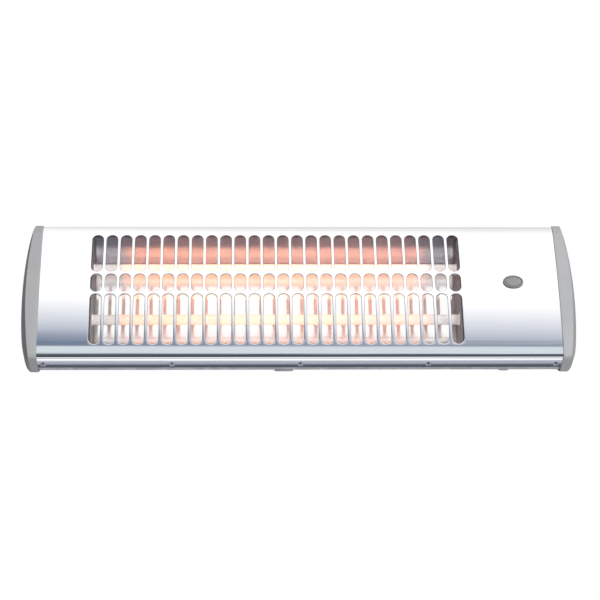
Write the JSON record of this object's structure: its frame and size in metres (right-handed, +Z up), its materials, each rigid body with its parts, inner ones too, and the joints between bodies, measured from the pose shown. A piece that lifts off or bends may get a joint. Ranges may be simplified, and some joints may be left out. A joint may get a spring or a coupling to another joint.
{
  "type": "electric bar heater",
  "caption": "Wall-hung quartz bar heater: punched steel cover between plastic end caps, tubes before a reflector, indicator, pull switch and tilting clamp bracket.",
  "frame": {"origin": "on the wall plane, at the middle of the wall bracket's back face, level with the tilt pivot", "axes": "+X along the heater to its indicator end (right, seen from the front), +Y into the wall, +Z up; the front faces -Y"},
  "size_m": [0.5654, 0.1161, 0.1574],
  "materials": {
    "polished_steel": "polished",
    "galvanised_steel": "galvanised",
    "mirror_aluminium": "mirror polished",
    "cap_plastic": "satin moulded",
    "quartz_glass": "clear",
    "hot_wire": "glowing",
    "ceramic": "unglazed",
    "zinc_steel": "zinc plated",
    "brass": "plain",
    "lens_plastic": "clear grey",
    "dark_plastic": "moulded",
    "white_plastic": "moulded",
    "wire_sleeve": "woven glass sleeve",
    "fibre": "pressed fibre"
  },
  "bodies": {
    "wall": {"wall_bracket": "zinc_steel"},
    "head": {"front_cover": "polished_steel", "rear_housing": "galvanised_steel", "tube_carrier_left": "galvanised_steel", "tube_carrier_right": "galvanised_steel", "reflector": "mirror_aluminium", "end_cap_left": "cap_plastic", "end_cap_right": "cap_plastic", "indicator_bezel": "cap_plastic", "cord_bush": "cap_plastic", "cable_gland": "cap_plastic", "quartz_tube_upper": "quartz_glass", "quartz_tube_lower": "quartz_glass", "heating_coil_upper": "hot_wire", "heating_coil_lower": "hot_wire", "ceramic_end_upper_left": "ceramic", "ceramic_end_upper_right": "ceramic", "ceramic_end_lower_left": "ceramic", "ceramic_end_lower_right": "ceramic", "cover_screw_1": "zinc_steel", "cover_screw_2": "zinc_steel", "cover_screw_3": "zinc_steel", "cover_screw_4": "zinc_steel", "cover_screw_5": "zinc_steel", "cap_screw_left_upper": "zinc_steel", "cap_screw_left_lower": "zinc_steel", "cap_screw_right_upper": "zinc_steel", "cap_screw_right_lower": "zinc_steel", "terminal_pin_upper_left": "zinc_steel", "terminal_pin_upper_right": "zinc_steel", "terminal_pin_lower_left": "zinc_steel", "terminal_pin_lower_right": "zinc_steel", "bracket_rivet_1": "zinc_steel", "bracket_rivet_2": "zinc_steel", "bracket_rivet_3": "zinc_steel", "bracket_rivet_4": "zinc_steel", "head_bracket": "zinc_steel", "pivot_bolt_left": "zinc_steel", "pivot_bolt_right": "zinc_steel", "earth_screw": "brass", "indicator_lens": "lens_plastic", "pull_switch": "dark_plastic", "thermal_cutout": "dark_plastic", "indicator_lamp": "white_plastic", "terminal_block": "white_plastic", "wire_left_upper": "wire_sleeve", "wire_left_lower": "wire_sleeve", "wire_right_upper": "wire_sleeve", "wire_right_lower": "wire_sleeve", "wire_lamp": "wire_sleeve", "friction_washer_left": "fibre", "friction_washer_right": "fibre"},
    "knob_left": {"clamp_knob_left": "dark_plastic"},
    "knob_right": {"clamp_knob_right": "dark_plastic"},
    "plunger": {"pull_plunger": "white_plastic"}
  },
  "joints": [
    {"name": "head_tilt", "type": "hinge", "parent": "wall", "child": "head", "pos_m": [0, -0.024, 0], "axis": [1, 0, 0], "range_deg": [0, 30]},
    {"name": "knob_left_turn", "type": "hinge", "parent": "head", "child": "knob_left", "pos_m": [-0.0709, -0.024, 0], "axis": [-1, 0, 0], "range_deg": [0, 360]},
    {"name": "knob_right_turn", "type": "hinge", "parent": "head", "child": "knob_right", "pos_m": [0.0709, -0.024, 0], "axis": [1, 0, 0], "range_deg": [0, 360]},
    {"name": "plunger_pull", "type": "slide", "parent": "head", "child": "plunger", "axis": [0, 0.5341, -0.8454], "range_m": [0, 0.008], "stiffness_N_per_m": 400}
  ]
}
